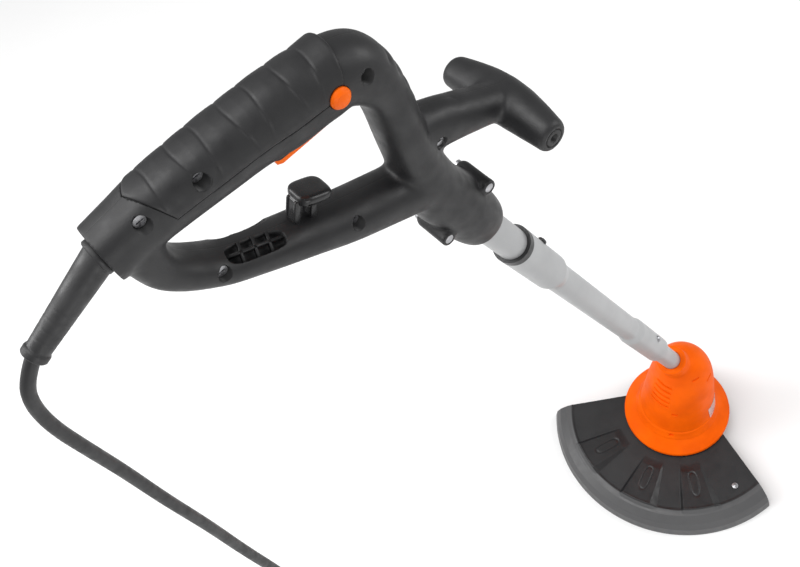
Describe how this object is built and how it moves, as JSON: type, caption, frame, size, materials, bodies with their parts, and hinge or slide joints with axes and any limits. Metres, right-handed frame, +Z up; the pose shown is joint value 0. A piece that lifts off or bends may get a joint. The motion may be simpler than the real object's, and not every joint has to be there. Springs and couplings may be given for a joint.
{
  "type": "corded electric string trimmer",
  "caption": "Corded electric string trimmer with a looped rear handle, short cross-bar front grip, telescopic tube, motor head, bump-feed line spool and fan-shaped guard.",
  "frame": {"origin": "middle of the rear grip, in the plane between the two handle shells", "axes": "+X forward along the rear grip, +Y to the left, +Z up, with the trimmer in its working pose and the motor axis upright"},
  "size_m": [0.5679, 0.2872, 0.9521],
  "materials": {
    "handle_shell": "fine grained",
    "soft_grip": "satin",
    "black_plastic": "satin",
    "orange_plastic": "semi-gloss",
    "screw_steel": "zinc plated",
    "spring_steel": "drawn wire",
    "cord_rubber": "matte",
    "plug_plastic": "matte",
    "contact_brass": "nickel tinted",
    "tube_paint": "light grey satin paint",
    "label_foil": "foil",
    "motor_steel": "machined",
    "magnet": "sintered",
    "copper": "turned",
    "nylon_line": "clear gloss",
    "guard_plastic": "semi-gloss"
  },
  "bodies": {
    "frame": {"right_shell": "handle_shell", "left_shell": "handle_shell", "grip_cover": "soft_grip", "cord_hook": "black_plastic", "socket_ring": "black_plastic", "right_vent_grille": "black_plastic", "left_vent_grille": "black_plastic", "switch_case": "black_plastic", "lower_liner": "black_plastic", "motor_housing": "orange_plastic", "shell_screws": "screw_steel", "clamp_screws": "screw_steel", "clamp_nuts": "screw_steel", "guard_screws": "screw_steel", "cutter_screw": "screw_steel", "trigger_pin": "screw_steel", "line_cutter": "screw_steel", "cable_boot": "cord_rubber", "cord_in_boot": "cord_rubber", "supply_cord": "cord_rubber", "motor_lead": "cord_rubber", "plug_body": "plug_plastic", "plug_pins": "contact_brass", "switch_terminals": "contact_brass", "upper_tube": "tube_paint", "middle_tube": "tube_paint", "lower_tube": "tube_paint", "blank_label": "label_foil", "motor_can": "motor_steel", "lower_bearing": "motor_steel", "upper_bearing": "motor_steel", "motor_base": "motor_steel", "field_magnets": "magnet", "carbon_brushes": "magnet", "guard": "guard_plastic"},
    "trigger": {"trigger": "orange_plastic", "trigger_spring": "spring_steel"},
    "lock": {"lock_button": "orange_plastic", "lock_stem": "orange_plastic", "lock_spring": "spring_steel"},
    "snap_upper": {"snap_button_upper": "black_plastic", "snap_spring_upper": "spring_steel"},
    "snap_lower": {"snap_button_lower": "black_plastic", "snap_spring_lower": "spring_steel"},
    "rotor": {"motor_shaft": "motor_steel", "armature": "motor_steel", "commutator": "copper", "cooling_fan": "black_plastic", "spool_cup": "black_plastic", "spool_nut": "screw_steel", "line_eyelet": "screw_steel", "cutting_line": "nylon_line", "spool_spring": "spring_steel"},
    "bump_head": {"line_spool": "black_plastic", "wound_line": "nylon_line", "bump_cap": "black_plastic"}
  },
  "joints": [
    {"name": "trigger_pull", "type": "hinge", "parent": "frame", "child": "trigger", "pos_m": [0.049, 0, -0.021], "axis": [0, 1, 0], "range_deg": [0, 7], "stiffness_Nm_per_rad": 0.6, "springref_deg": -6.88},
    {"name": "lock_press", "type": "slide", "parent": "frame", "child": "lock", "axis": [0, 1, 0], "range_m": [0, 0.004], "stiffness_N_per_m": 400, "springref_m": -0.002},
    {"name": "upper_snap_press", "type": "slide", "parent": "frame", "child": "snap_upper", "axis": [-0.9397, 0, -0.342], "range_m": [0, 0.0055], "stiffness_N_per_m": 1500, "springref_m": -0.002},
    {"name": "lower_snap_press", "type": "slide", "parent": "frame", "child": "snap_lower", "axis": [-0.6983, 0.6691, -0.2542], "range_m": [0, 0.005], "stiffness_N_per_m": 1500, "springref_m": -0.002},
    {"name": "line_spin", "type": "hinge", "parent": "frame", "child": "rotor", "pos_m": [0.3214, 0, -0.88], "axis": [0, 0, 1], "continuous": true},
    {"name": "bump_feed", "type": "slide", "parent": "rotor", "child": "bump_head", "axis": [0, 0, 1], "range_m": [0, 0.004], "stiffness_N_per_m": 800, "springref_m": -0.003, "deforming": ["spool_spring"]}
  ]
}
